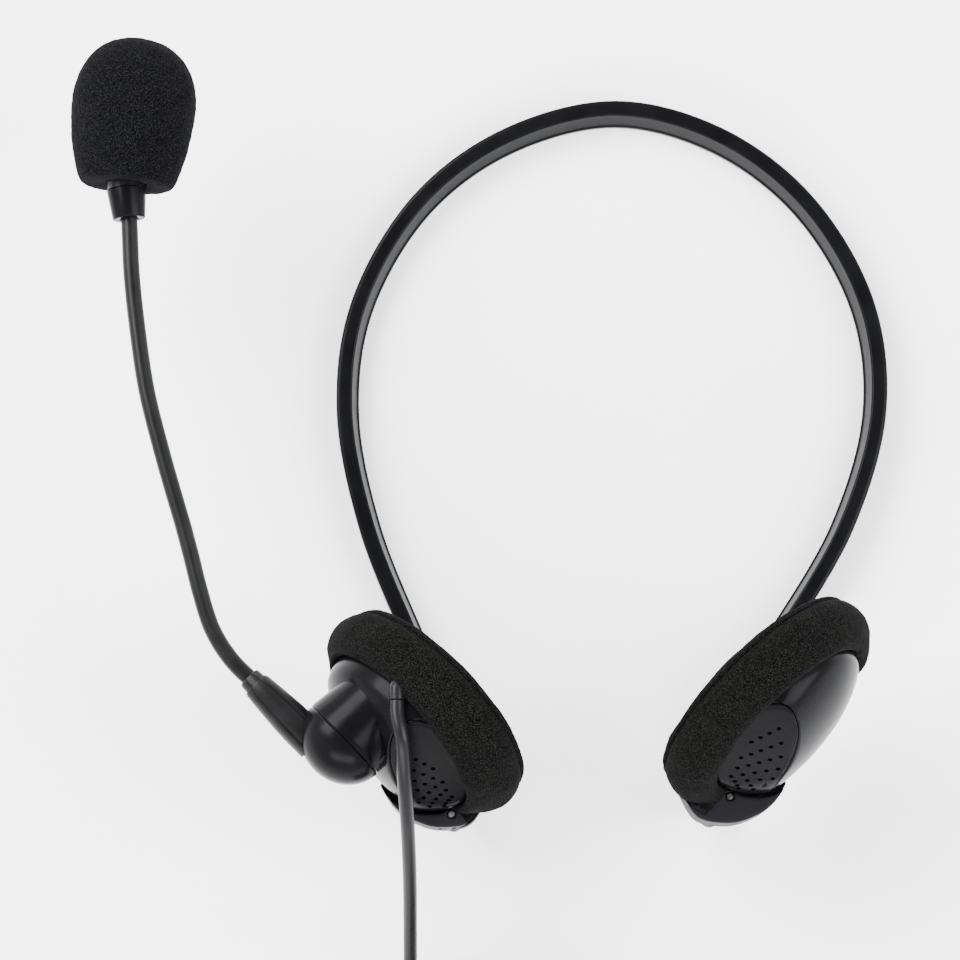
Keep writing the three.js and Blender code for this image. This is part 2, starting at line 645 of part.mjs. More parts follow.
// A strap tie round the turns, on the +X side of the coil.
function coilTie() {
  const loop = (grow, bottom) => [
    [-COIL_WIDTH / 2 - grow, bottom], [COIL_WIDTH / 2 + grow, bottom],
    [COIL_WIDTH / 2 + grow, COIL_TOP + grow], [-COIL_WIDTH / 2 - grow, COIL_TOP + grow],
  ];
  const outside = slabXZ(loop(1.1, 0.05), -2, 2);
  const inside = slabXZ(loop(GAP, COIL_BOTTOM - GAP), -3, 3);
  return cut(outside, inside).translate(COIL_CENTRE[0] + COIL_RADIUS, COIL_CENTRE[1], 0);
}

function plugBody() {
  const profile = [[0, 0], [1.9, 0], [2.5, 9], [PLUG_RADIUS, 11], [PLUG_RADIUS, 25], [3, 27], [0, 27]];
  return onPlug(turned(profile, 20));
}

function plugJack() {
  return onPlug(turned([
    [0, 27.3], [2.6, 27.3], [2.6, 28], [1.75, 28], [1.75, 38.6], [1.2, 39.4], [1.6, 40.6], [0.4, 42],
    [0, 42],
  ], 16));
}

// Lays a shape drawn along z on the table, pointing to +X from the end of the cord's tail.
function onPlug(geometry) {
  const [x, y, z] = TAIL_PATH.at(-1);
  return geometry.rotateY(Math.PI / 2).translate(x + GAP, y, z);
}

// ---------------------------------------------------------------- the whole headset

function earCup(side, cup) {
  const group = cupGroup(cup);
  group.add(node(`ear_foam_${side}`, earFoam(cup), foam));
  group.add(node(`baffle_${side}`, baffle(), satin));
  group.add(node(`driver_frame_${side}`, driverFrame(), steel));
  group.add(node(`driver_magnet_${side}`, driverMagnet(), steel));
  group.add(node(`driver_diaphragm_${side}`, driverDiaphragm(), film));
  group.add(node(`housing_${side}`, housing(cup), plastic));
  group.add(node(`grille_${side}`, grille(cup), plastic));
  group.add(node(`hook_arm_${side}`, hook(cup), plastic));
  group.add(node(`hook_pin_${side}`, hookPin(), steel));
  if (side === "left") {
    group.add(node("cable_gland", glandBody(0), rubber));
    group.add(node("boom_socket", boomSocket(), plastic));
    group.add(node("boom_screw", screwShaft(0), steel));
    group.add(node("boom_washer", washer(), nickel));
    group.add(node("boom_cap", boomCap(), plastic));
    group.add(node("boom_sleeve", sleeve(), satin));
  }
  return group;
}

function microphone() {
  const group = micGroup();
  group.add(node("mic_collar", micCollar(), plastic));
  group.add(node("mic_barrel", micBarrel(), satin));
  group.add(node("mic_capsule", micCapsule(), nickel));
  group.add(node("windscreen", windscreen(), bluishFoam));
  return group;
}

const headset = new THREE.Group();
headset.add(node("neckband", neckband(), plastic));
headset.add(node("band_spring", bandSpring(), steel));
headset.add(node("speaker_lead", speakerLead(), rubber));
headset.add(earCup("left", CUPS.left));
headset.add(earCup("right", CUPS.right));
headset.add(node("boom_tube_lower", lowerTube(), satin));
headset.add(node("boom_tube_upper", upperTube(), satin));
headset.add(microphone());
headset.add(node("cord_tube", cordTube(), rubber));
headset.add(node("cord_coil", coil(), rubber));
headset.add(node("cord_tie", coilTie(), satin));
headset.add(node("cord_tail", tube(TAIL_PATH, CORD_RADIUS, 8, 5), rubber));
headset.add(node("plug_body", plugBody(), rubber));
headset.add(node("plug_jack", plugJack(), nickel));

export default headset;
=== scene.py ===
"""The looks of a behind-the-neck computer headset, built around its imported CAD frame.

Every piece is made in millimetres in a frame of its own (the table, an ear cup, the boom's swivel
or the microphone) and lands in the shared frame, in metres.
"""

import json
import math

import bmesh
import bpy
from mathutils import Matrix, Vector, noise


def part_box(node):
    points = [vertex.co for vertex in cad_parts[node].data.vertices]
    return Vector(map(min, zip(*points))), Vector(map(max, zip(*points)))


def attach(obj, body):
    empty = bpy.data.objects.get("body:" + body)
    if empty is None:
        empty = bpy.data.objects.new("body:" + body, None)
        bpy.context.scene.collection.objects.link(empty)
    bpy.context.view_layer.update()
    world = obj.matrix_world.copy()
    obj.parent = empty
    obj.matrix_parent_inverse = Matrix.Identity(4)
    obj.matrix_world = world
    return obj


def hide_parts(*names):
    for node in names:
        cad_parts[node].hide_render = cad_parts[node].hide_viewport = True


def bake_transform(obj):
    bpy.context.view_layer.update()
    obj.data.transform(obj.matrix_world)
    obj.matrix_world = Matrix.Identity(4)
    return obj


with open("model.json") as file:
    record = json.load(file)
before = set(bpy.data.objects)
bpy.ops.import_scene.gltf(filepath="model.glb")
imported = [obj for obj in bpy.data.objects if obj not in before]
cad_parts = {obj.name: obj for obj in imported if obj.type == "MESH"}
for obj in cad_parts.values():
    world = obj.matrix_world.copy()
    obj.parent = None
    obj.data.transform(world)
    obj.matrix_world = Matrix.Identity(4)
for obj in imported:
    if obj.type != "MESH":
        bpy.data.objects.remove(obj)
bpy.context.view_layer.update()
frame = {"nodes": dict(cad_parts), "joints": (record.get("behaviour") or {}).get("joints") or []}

MM = 0.001
JOINTS = {joint["name"]: joint for joint in frame["joints"]}
TABLE = Matrix.Scale(MM, 4)

# -------------------------------------------------------- driving dimensions, in millimetres

VIEW_TARGET = Vector((-1.65, -7.7, 20))
VIEW_DISTANCE = 950
VIEW_TILT = math.radians(8)  # from straight down, towards the ear cups
LENS = 153.2
SENSOR_WIDTH = 36
FLOOR_HALF = 4000  # half the floor's side

ROOM_STRENGTH = 3.2
ROOM_GREYS = [  # (height of the view direction, grey), from level to straight up
    (0.0, 0.8), (0.45, 1.0), (0.75, 0.6), (0.92, 0.08), (1.0, 0.03),
]
SOFTBOX_AIM = Vector((0, 0, 30))
SOFTBOXES = {
    "key": dict(place=(-560, 420, 700), size=(800, 560), power=36),
    "fill": dict(place=(680, -120, 640), size=(560, 800), power=20),
    "front": dict(place=(-120, -760, 520), size=(900, 300), power=12),
}

BAND_WIDTH = 4.2
BAND_HEIGHT = 8
CHANNEL_WIDTH = 1.7
CHANNEL_DEPTH = 5.6
BAND_PATH = [  # seen from above, from the left leg over the arch to the right leg
    (-14.3, -51), (-17.9, -42.7), (-28.2, -16.7), (-33.5, 11.3), (-30.2, 36.3),
    (-15.9, 61.3), (4.7, 76.8), (30.7, 83.5), (55.2, 77.1), (75.7, 61.3),
    (89.7, 36.8), (92.4, 11.3), (84.4, -16.7), (69.1, -42.7), (66.1, -47.3),
]

CUP_PIVOT = Vector((-20.6, -15, 10.1))  # the tilt hinge's point, in a cup's own frame
RIM_RADIUS = 21.6
DOME_CENTRE = Vector((-4.6, 0, 4.8))
DOME_RADII = Vector((28, 24.5, 12.6))
SHOULDER_HEIGHT = 19.3
SHOULDER_RADIUS = 21.8
GRILLE_NORMAL = Vector((-0.566, 0.424, 0.707)).normalized()
GRILLE_OFFSET = 17.25
GRILLE_MIDDLE = Vector((-10, 6.5))  # a place inside the grille's outline, seen along the cup's axis
GRILLE_DROP = 1.5  # the grille's thickness, measured along the cup's axis
LEDGE_HEIGHT = 5.2  # of the narrow shelf between grille and foam
SHELL_WALL = 1.8
RIM_FLANGE = [  # (radius, height) from under the dome's edge round the rim to the inside
    (21.6, 3.4), (21.8, 3.0), (22.2, 2.9), (24.8, 2.9), (25, 2.7), (25, 1.1), (24.8, 0.9),
    (19.8, 0.9), (19.6, 1.2),
]
RAY_COUNT = 200  # points round the grille and the shell
HOLE_RADIUS = 0.55
HOLE_SIDES = 20
HOLE_PLANE = Vector((-0.44, 0.55, 0.71)).normalized()  # the rows lie on it, then rise to the grille
HOLE_PLANE_OFFSET = 15.3
HOLE_START = {"left": -1.4, "right": 1.3}  # of the first row, along that plane
HOLE_ROWS = [4, 5, 5, 5, 4, 3, 3]
HOLE_PITCH = 2.17  # in the first row
HOLE_PITCH_GROWTH = 0.15  # from each row to the next

PAD_SIDES = 300
PAD_OUTSIDE = [  # (radius, height) from the head's side over the rim to the lip on the shell
    (0, -8.3), (8, -8.1), (15, -7.3), (20.5, -6.2), (24.8, -5.1), (27.2, -4.1), (27.7, -3.2),
    (27.35, -2.5), (28.0, -1.8), (28.6, -0.6), (29.0, 0.8), (29.1, 2.4), (28.7, 4.5), (27.4, 6.4),
    (25.3, 7.4), (23.4, 7.5), (22.2, 6.9), (21.9, 5.9), (21.85, 4.5),
]
PAD_INSIDE = [(22.1, 3.3), (25.3, 3.2), (25.3, -2.4), (12, -2.4), (0, -2.4)]

# How each foam cover has crept on its cup: along the disc, out of the ear on the cup's side and on
# the head's side, and how far its lip reaches over the shell at the front and back ends.
PAD_FIT = {
    "left": dict(along=-0.35, stretch=0.95, outward=-1.4, face=-0.7, lip_front=2.1, lip_back=-0.2),
    "right": dict(along=-0.3, stretch=1.0, outward=0.4, face=1.2, lip_front=1.7, lip_back=1.9),
}

BALL_CENTRE = Vector((7.3, 4, 19.4))  # boom swivel, in the left cup's frame
BALL_RADIUS = 10.5
BALL_DEPTH = 9.4  # of the half ball, from its seam
SLEEVE_HEIGHT = 5.2  # from the swivel's seam to the boom's centreline
SLEEVE_END = 24
TUBE_RADIUS = 1.9
LOWER_TUBE = [(-57.3, -52.5), (-61.5, -45.9), (-64.4, -37.2), (-66.6, -28.7), (-68.7, -21.1)]
UPPER_TUBE = [
    (-73.4, -5.2), (-76.9, 8.5), (-79.1, 22.3), (-80.6, 35.3), (-81.3, 47.8), (-81.6, 50.3),
]
MIC_BASE = (-81.3, 47.8)
WINDSCREEN_BASE = 8
WINDSCREEN_LEAN = math.radians(11)
WINDSCREEN_OUTSIDE = [  # (radius, height) from the cut base to the tip
    (10.6, 0.3), (11.2, 1.2), (12.5, 6), (13.5, 11), (14.1, 17), (13.9, 21.5), (12.7, 26),
    (10.3, 29.8), (6.8, 32.4), (2.5, 33.6), (0.01, 33.7),
]
WINDSCREEN_BORE = [(0, 15), (4.5, 15), (4.5, 8), (4.5, 0.6), (5.0, 0.1), (7.5, 0), (10, 0)]

CORD_RADIUS = 1.6
GLAND = Vector((5.3, 21.6, 8.3))  # cable exit, in the left cup's frame
GLAND_RUN = Vector((-0.7, -0.06, 0.7)).normalized()
GLAND_NOSE = 1.5
CORD_PATH = [  # from the gland down to the table and on to the coil
    (-18.9, -70.7, 65.8), (-18.4, -78.7, 61.2), (-17.9, -86.7, 53.6), (-17.6, -94.7, 43.4),
    (-17.5, -102.7, 32.2), (-17.6, -110.7, 21.4), (-17.7, -117.7, 12.6), (-17.7, -124.7, 6.2),
    (-17.7, -131.7, 2.7), (-17.7, -138, 2), (-17.7, -143.2, 2.4), (-17.7, -150, 2.7),
]
COIL_CENTRE = Vector((7.1, -156.5))
COIL_OUTER = 24.8  # radius of the outermost turn
COIL_PITCH = 3.3
COIL_LAYERS = 4
COIL_TURNS = 3.4  # in each layer
COIL_CLIMB = 0.2167  # of a turn, between two layers
COIL_FLOOR = 2.8  # height of the lowest turns
COIL_STEPS = 28  # points in each turn
TAIL_PATH = [
    (14, -181.3, 12.7), (20.4, -181.3, 12.3), (27, -182, 10.6), (34, -183, 7.2),
    (41, -183.6, 4.6), (48, -184, 3.9),
]

# -------------------------------------------------------- lines and surfaces


def mix(a, b, share):
    return a + (b - a) * share


def smoothstep(low, high, value):
    share = min(1, max(0, (value - low) / (high - low)))
    return share * share * (3 - 2 * share)


def smooth_min(a, b, width):
    """The smaller of two heights, with a round change from one to the other."""
    near = max(width - abs(a - b), 0) / width
    return min(a, b) - near * near * width / 4


def curve_through(points, spacing):
    """Points in space, about that far apart, on a smooth curve through the given ones."""
    points = [Vector(p).to_3d() if len(p) == 2 else Vector(p) for p in points]
    ends = [points[0] * 2 - points[1], *points, points[-1] * 2 - points[-2]]
    line = []
    for p0, p1, p2, p3 in zip(ends, ends[1:], ends[2:], ends[3:]):
        gaps = ((p0, p1), (p1, p2), (p2, p3))
        d1, d2, d3 = [max(math.sqrt((b - a).length), 1e-4) for a, b in gaps]
        slope1 = ((p1 - p0) / d1 - (p2 - p0) / (d1 + d2) + (p2 - p1) / d2) * d2
        slope2 = ((p2 - p1) / d2 - (p3 - p1) / (d2 + d3) + (p3 - p2) / d3) * d2
        steps = max(1, round((p2 - p1).length / spacing))
        for i in range(steps):
            t = i / steps
            line.append(
                p1 * (2 * t**3 - 3 * t**2 + 1) + slope1 * (t**3 - 2 * t**2 + t)
                + p2 * (3 * t**2 - 2 * t**3) + slope2 * (t**3 - t**2))
    return [*line, points[-1]]


def rounded(outline, steps=5, closed=False):
    """An outline of (x, y) and (x, y, radius) corners, with a round at each that has a radius."""
    corners = [(Vector(c[:2]), c[2] if len(c) > 2 else 0) for c in outline]
    points = []
    for i, (corner, radius) in enumerate(corners):
        if radius == 0 or (not closed and i in (0, len(corners) - 1)):
            points.append(corner)
            continue
        before = corners[i - 1][0] - corner
        after = corners[(i + 1) % len(corners)][0] - corner
        half = before.angle(after) / 2
        reach = min(radius / max(math.tan(half), 0.05), 0.48 * before.length, 0.48 * after.length)
        start, end = corner + before.normalized() * reach, corner + after.normalized() * reach
        for k in range(steps + 1):
            t = k / steps
            points.append(start * (1 - t) ** 2 + corner * (2 * t * (1 - t)) + end * t**2)
    return points


def circle(radius, sides):
    angles = [2 * math.pi * i / sides for i in range(sides)]
    return [(radius * math.cos(a), radius * math.sin(a)) for a in angles]


def arc(centre, radius, degrees):
    """Points on a circle round centre, at these angles."""
    x, y = centre
    turns = [math.radians(d) for d in degrees]
    return [(x + radius * math.cos(turn), y + radius * math.sin(turn)) for turn in turns]


def add_object(name, mesh):
    piece = bpy.data.objects.new(name, mesh)
    bpy.context.collection.objects.link(piece)
    return piece


def mesh_piece(name, points, faces, matrix, crease=35):
    """A mesh from points in matrix's frame. Edges sharper than crease, in degrees, stay sharp."""
    shape = bmesh.new()
    corners = [shape.verts.new(matrix @ Vector(p)) for p in points]
    for face in faces:
        shape.faces.new([corners[i] for i in face])
    bmesh.ops.remove_doubles(shape, verts=shape.verts, dist=2e-7)
    bmesh.ops.recalc_face_normals(shape, faces=shape.faces)
    mesh = bpy.data.meshes.new(name)
    shape.to_mesh(mesh)
    shape.free()
    shade(mesh, crease)
    return add_object(name, mesh)


def shade(mesh, crease=35):
    mesh.polygons.foreach_set("use_smooth", [True] * len(mesh.polygons))
    mesh.set_sharp_from_angle(angle=math.radians(crease))


def loft(name, rings, matrix, capped=True, looped=False, crease=35):
    """A surface through rings of as many points each; looped joins the last to the first."""
    count = len(rings[0])
    points = [p for ring in rings for p in ring]
    faces = []
    for r in range(len(rings) if looped else len(rings) - 1):
        low, high = r * count, ((r + 1) % len(rings)) * count
        for i in range(count):
            j = (i + 1) % count
            faces.append((low + i, low + j, high + j, high + i))
    if capped and not looped:
        faces.append(tuple(range(count)))
        faces.append(tuple(range(len(points) - count, len(points))))
    return mesh_piece(name, points, faces, matrix, crease)


def lathe(name, profile, matrix, segments, crease=35):
    """A profile of (radius, height) turned about z, with its two ends capped."""
    rings = []
    for radius, height in profile:
        rings.append([(x, y, height) for x, y in circle(max(radius, 1e-3), segments)])
    return loft(name, rings, matrix, crease=crease)


def prism(name, outline, low, high, matrix):
    """A solid whose outline is given in x and z, from y = low to y = high."""
    return loft(name, [[(x, y, z) for x, z in outline] for y in (low, high)], matrix)


def tube_rings(path, radius, sides):
    """Rings round a path, turned as little as possible from one to the next."""
    rings = []
    side = None
    for i, centre in enumerate(path):
        run = (path[min(i + 1, len(path) - 1)] - path[max(i - 1, 0)]).normalized()
        if side is None:
            side = run.cross(Vector((0, 0, 1)) if abs(run.z) < 0.9 else Vector((1, 0, 0)))
        side = (side - run * side.dot(run)).normalized()
        up = run.cross(side)
        rings.append([centre + side * x * radius + up * y * radius for x, y in circle(1, sides)])
    return rings


def cut(piece, cutter):
    """Takes the cutter's shape out of a piece. The cutter is then gone."""
    change = piece.modifiers.new("cut", "BOOLEAN")
    change.object = cutter
    change.operation = "DIFFERENCE"
    change.solver = "EXACT"
    apply_modifiers(piece)
    bpy.data.objects.remove(cutter)
    shade(piece.data)


def apply_modifiers(piece):
    bpy.context.view_layer.update()
    result = piece.evaluated_get(bpy.context.evaluated_depsgraph_get())
    mesh = bpy.data.meshes.new_from_object(result)
    piece.modifiers.clear()
    piece.data = mesh


def displaced(piece, amount_at):
    """Moves each vertex along its normal by amount_at(place in millimetres), in millimetres."""
    normals = [v.normal.copy() for v in piece.data.vertices]
    for vertex, normal in zip(piece.data.vertices, normals):
        vertex.co += normal * amount_at(vertex.co / MM) * MM
    piece.data.update()


# -------------------------------------------------------- frames


def basis(x, y, z, place):
    """A frame in millimetres. Its axes and place are given in the shared frame, in metres."""
    turn = Matrix((x, y, z)).transposed()
    return Matrix.Translation(place) @ turn.to_4x4() @ TABLE


def cup_frame(side):
    """A cup's frame (x along the disc to the back of the head, y up through the disc, z out of the
    ear), with the level directions back and out of the ear."""
    sign = -1 if side == "left" else 1
    joint = JOINTS[f"cup_tilt_{side}"]
    up = Vector(joint["axis"]).normalized() * sign
    tilt = math.acos(up.z)
    yaw = math.atan2(-sign * up.x, up.y)
    back = Vector((sign * math.cos(yaw), math.sin(yaw), 0))
    level = Vector((sign * math.sin(yaw), -math.cos(yaw), 0))
    out = level * math.cos(tilt) + Vector((0, 0, math.sin(tilt)))
    turned = basis(back, up, out, (0, 0, 0))
    return Matrix.Translation(Vector(joint["pos_m"]) - turned @ CUP_PIVOT) @ turned, back, level


CUPS = {side: cup_frame(side)[0] for side in ("left", "right")}
_, BOOM_BACK, BOOM_LEVEL = cup_frame("left")

SWIVEL_PLACE = CUPS["left"] @ BALL_CENTRE
SWIVEL = basis(BOOM_BACK, Vector((0, 0, 1)), BOOM_LEVEL, SWIVEL_PLACE)
BOOM_HEIGHT = SWIVEL_PLACE.z / MM

MIC_AXIS = Vector(JOINTS["windscreen_pull"]["axis"]).normalized()
MIC = basis(
    Vector((MIC_AXIS.y, -MIC_AXIS.x, 0)), Vector((0, 0, -1)), MIC_AXIS,
    Vector((*MIC_BASE, BOOM_HEIGHT)) * MM)

# -------------------------------------------------------- materials


class Nodes:
    """A material's node tree, with a short way to add and join nodes."""

    def __init__(self, name):
        self.material = bpy.data.materials.new(name)
        self.material.use_nodes = True
        self.tree = self.material.node_tree
        self.surface = self.tree.nodes["Principled BSDF"]
        self.place = self.tree.nodes.new("ShaderNodeTexCoord").outputs["Object"]

    def add(self, kind, **inputs):
        node = self.tree.nodes.new(kind)
        for key, value in inputs.items():
            self.feed(node.inputs[key.replace("_", " ")], value)
        return node

    def feed(self, socket, value):
        if isinstance(value, bpy.types.NodeSocket):
            self.tree.links.new(value, socket)
        else:
            socket.default_value = value

    def grain(self, size, detail=3, stretch=(1, 1, 1)):
        """Noise whose features are about that many millimetres across."""
        scaled = self.add("ShaderNodeMapping", Vector=self.place, Scale=stretch).outputs[0]
        noisy = self.add("ShaderNodeTexNoise", Vector=scaled, Scale=1 / (size * MM), Detail=detail)
        return noisy.outputs[0]

    def ramp(self, value, low, high, low_at=0.3, high_at=0.7):
        """A number or a colour that goes from low to high as value does."""
        if not isinstance(low, tuple):
            node = self.add("ShaderNodeMapRange", Value=value)
            for index, number in zip((1, 2, 3, 4), (low_at, high_at, low, high)):
                node.inputs[index].default_value = number
            return node.outputs[0]
        node = self.add("ShaderNodeValToRGB", Fac=value)
        for element, at, colour in zip(node.color_ramp.elements, (low_at, high_at), (low, high)):
            element.position = at
            element.color = (*colour, 1)
        return node.outputs[0]

    def bump(self, height, distance, strength=1):
        """Relief that many millimetres deep."""
        node = self.add("ShaderNodeBump", Height=height, Strength=strength, Distance=distance * MM)
        if self.surface.inputs["Normal"].is_linked:
            self.feed(node.inputs["Normal"], self.surface.inputs["Normal"].links[0].from_socket)
        self.feed(self.surface.inputs["Normal"], node.outputs[0])

    def set(self, **inputs):
        for key, value in inputs.items():
            self.feed(self.surface.inputs[key.replace("_", " ")], value)


def moulded(name, dark, light, smooth, rough, grain, relief, shine=0.1):
    """Moulded plastic or rubber: its colour, polish and skin vary a little over the surface."""
    n = Nodes(name)
    n.set(Base_Color=n.ramp(n.grain(9), dark, light))
    n.set(Roughness=n.ramp(n.grain(3.5, 6), smooth, rough), Specular_IOR_Level=shine)
    n.bump(n.grain(grain, 2), relief)
    return n.material


def scratched_metal(name, colour, smooth, rough, stretch):
    n = Nodes(name)
    streaks = n.grain(0.5, 4, stretch)
    n.set(Base_Color=n.ramp(n.grain(4), tuple(c * 0.8 for c in colour), colour), Metallic=1)
    n.set(Roughness=n.ramp(streaks, smooth, rough))
    n.bump(streaks, 0.004)
    return n.material


def open_cell_foam(name, pit, strand, cell, tint):
    """Foam: painted shade in the cells between the strands, and painted light on the strands."""
    n = Nodes(name)
    # This noise mask places painted light on the strands and painted shade in the cells between
    # them.
    strands = n.ramp(n.grain(cell, 3), 0.0, 1.0, 0.46, 0.64)
    n.set(Base_Color=n.ramp(strands, pit, strand, 0.0, 1.0), Roughness=1.0)
    n.set(Specular_IOR_Level=0.02, Sheen_Weight=0.005, Sheen_Roughness=0.6, Sheen_Tint=(*tint, 1))
    n.bump(strands, cell * 0.25)
    return n.material


# Colours are linear. The roughness goes from smooth to rough, and the skin's grains are about grain
# wide and relief deep, in millimetres. hook_black is a duller gloss_black for the ear hooks.
MOULDED = {
    "gloss_black": dict(
        dark=(0.0022, 0.0022, 0.0026), light=(0.0036, 0.0036, 0.0042), smooth=0.2, rough=0.27,
        grain=1.6, relief=0.004, shine=0.035),
    "hook_black": dict(
        dark=(0.0075, 0.0075, 0.0085), light=(0.0095, 0.0095, 0.0108), smooth=0.42, rough=0.5,
        grain=0.6, relief=0.006, shine=0.025),
    "satin_black": dict(
        dark=(0.0026, 0.0026, 0.0028), light=(0.0045, 0.0045, 0.0048), smooth=0.3, rough=0.42,
        grain=0.3, relief=0.01),
    "cable_jacket": dict(
        dark=(0.004, 0.004, 0.0045), light=(0.007, 0.007, 0.0075), smooth=0.27, rough=0.36,
        grain=0.8, relief=0.012),
    "lead": dict(
        dark=(0.0035, 0.0035, 0.0037), light=(0.006, 0.006, 0.0063), smooth=0.4, rough=0.5,
        grain=0.5, relief=0.008),
    "tie": dict(
        dark=(0.003, 0.003, 0.003), light=(0.007, 0.007, 0.007), smooth=0.75, rough=0.9,
        grain=0.4, relief=0.08),
    "film": dict(
        dark=(0.4, 0.38, 0.33), light=(0.5, 0.48, 0.43), smooth=0.25, rough=0.35,
        grain=2.5, relief=0.05),
}
METALS = {
    "spring_steel": dict(colour=(0.55, 0.56, 0.57), smooth=0.25, rough=0.4, stretch=(1, 1, 8)),
    "driver_steel": dict(colour=(0.5, 0.5, 0.5), smooth=0.3, rough=0.45, stretch=(1, 1, 3)),
    "nickel": dict(colour=(0.78, 0.76, 0.72), smooth=0.12, rough=0.25, stretch=(4, 1, 1)),
}
# In each foam, pit is the painted shade in its cells and strand is the painted light on its
# strands.
FOAMS = {
    "ear_foam": dict(
        pit=(0.0004, 0.0004, 0.0004), strand=(0.0095, 0.0095, 0.0089), cell=0.27,
        tint=(0.8, 0.8, 0.78)),
    "mic_foam": dict(
        pit=(0.0004, 0.0004, 0.0005), strand=(0.0088, 0.009, 0.0106), cell=0.27,
        tint=(0.7, 0.71, 0.85)),
}
MATERIALS = {
    **{name: moulded(name, **look) for name, look in MOULDED.items()},
    **{name: scratched_metal(name, **look) for name, look in METALS.items()},
    **{name: open_cell_foam(name, **look) for name, look in FOAMS.items()},
}


def finish(piece, body, slot, *replaced, material=None):
    """Gives a piece its slot, with the material of that name unless another is named, and its body.
    Hides the CAD nodes it stands for."""
    piece.data.materials.clear()
    piece.data.materials.append(MATERIALS[material or slot])
    if body:
        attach(piece, body)
    if replaced:
        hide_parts(*replaced)
    return piece


# -------------------------------------------------------- camera, floor and light


def add_camera():
    camera = bpy.data.objects.new("camera", bpy.data.cameras.new("camera"))
    bpy.context.collection.objects.link(camera)
    camera.data.lens = LENS
    camera.data.sensor_width = SENSOR_WIDTH
    camera.rotation_euler = (VIEW_TILT, 0, 0)
    back = camera.rotation_euler.to_matrix() @ Vector((0, 0, VIEW_DISTANCE))
    camera.location = (VIEW_TARGET + back) * MM
    bpy.context.scene.camera = camera


def add_floor():
    half = FLOOR_HALF
    corners = [(-half, -half, 0), (half, -half, 0), (half, half, 0), (-half, half, 0)]
    floor = mesh_piece("floor", corners, [(0, 1, 2, 3)], TABLE)
    n = Nodes("floor")
    n.set(Base_Color=n.ramp(n.grain(30), (0.93, 0.93, 0.94), (0.95, 0.95, 0.955)), Roughness=0.9)
    n.set(Specular_IOR_Level=0.1)
    floor.data.materials.append(n.material)


def add_softbox(name, place, size, power):
    lamp = bpy.data.lights.new(name, "AREA")
    lamp.shape = "RECTANGLE"
    lamp.size, lamp.size_y = [s * MM for s in size]
    lamp.energy = power
    box = bpy.data.objects.new(name, lamp)
    bpy.context.collection.objects.link(box)
    box.location = Vector(place) * MM
    box.rotation_euler = (SOFTBOX_AIM - Vector(place)).to_track_quat("-Z", "Y").to_euler()


def add_world():
    """A pale room that is darker straight above, where the photographer stands."""
    world = bpy.data.worlds.new("room")
    bpy.context.scene.world = world
    world.use_nodes = True
    tree = world.node_tree
    place = tree.nodes.new("ShaderNodeTexCoord")
    split = tree.nodes.new("ShaderNodeSeparateXYZ")
    ramp = tree.nodes.new("ShaderNodeValToRGB")
    tree.links.new(place.outputs["Generated"], split.inputs[0])
    tree.links.new(split.outputs["Z"], ramp.inputs[0])
    elements = ramp.color_ramp.elements
    while len(elements) < len(ROOM_GREYS):
        elements.new(0.5)
    for element, (at, grey) in zip(elements, ROOM_GREYS):
        element.position = at
        element.color = (grey * 0.98, grey * 0.985, grey, 1)
    background = tree.nodes["Background"]
    tree.links.new(ramp.outputs[0], background.inputs[0])
    background.inputs[1].default_value = ROOM_STRENGTH


def light_the_room():
    add_world()
    for name, softbox in SOFTBOXES.items():
        add_softbox(name, **softbox)


# -------------------------------------------------------- cord


def coil_route():
    """From the leftmost point round and round: in, up, out, up, in, up and out again."""
    inner = COIL_OUTER - COIL_TURNS * COIL_PITCH
    total = COIL_LAYERS * COIL_TURNS + (COIL_LAYERS - 1) * COIL_CLIMB
    route = []
    count = round(total * COIL_STEPS)
    for i in range(count + 1):
        turn = total * i / count
        layer = min(int(turn / (COIL_TURNS + COIL_CLIMB)), COIL_LAYERS - 1)
        along = turn - layer * (COIL_TURNS + COIL_CLIMB)
        share = min(1, along / COIL_TURNS)
        radius = mix(COIL_OUTER, inner, share if layer % 2 == 0 else 1 - share)
        climb = max(0, along - COIL_TURNS) / COIL_CLIMB
        height = COIL_FLOOR + COIL_PITCH * (layer + smoothstep(0, 1, climb))
        angle = math.pi + 2 * math.pi * turn
        x, y = COIL_CENTRE.x + radius * math.cos(angle), COIL_CENTRE.y + radius * math.sin(angle)
        route.append(Vector((x, y, height)))
    return route


def gland_point(distance):
    """A place on the cord's line, that far out of the strain relief."""
    return CUPS["left"] @ (GLAND + GLAND_RUN * (GLAND_NOSE + distance)) / MM


def cord_route():
    start = [gland_point(0.3), gland_point(3.3)]
    coil = coil_route()
    free = curve_through([*start, *CORD_PATH, coil[0]], 1.6)
    tail = curve_through([coil[-1], *TAIL_PATH], 1.6)
    return [*free[:-1], *coil, *tail[1:]]


def add_cord():
    route = cord_route()
    cord = loft("cord", tube_rings(route, CORD_RADIUS, 16), TABLE)
    finish(cord, None, "cable_jacket", "cord_tube", "cord_coil", "cord_tail")
    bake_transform(cord)
    pieces = [add_plug(), add_plug_pin(), add_tie(), add_strain_relief()]


def plug_frame():
    """z along the plug, from the cord's end."""
    end = Vector(TAIL_PATH[-1]) + Vector((0.1, 0, 0))
    return basis(Vector((0, 0, -1)), Vector((0, 1, 0)), Vector((1, 0, 0)), end * MM)


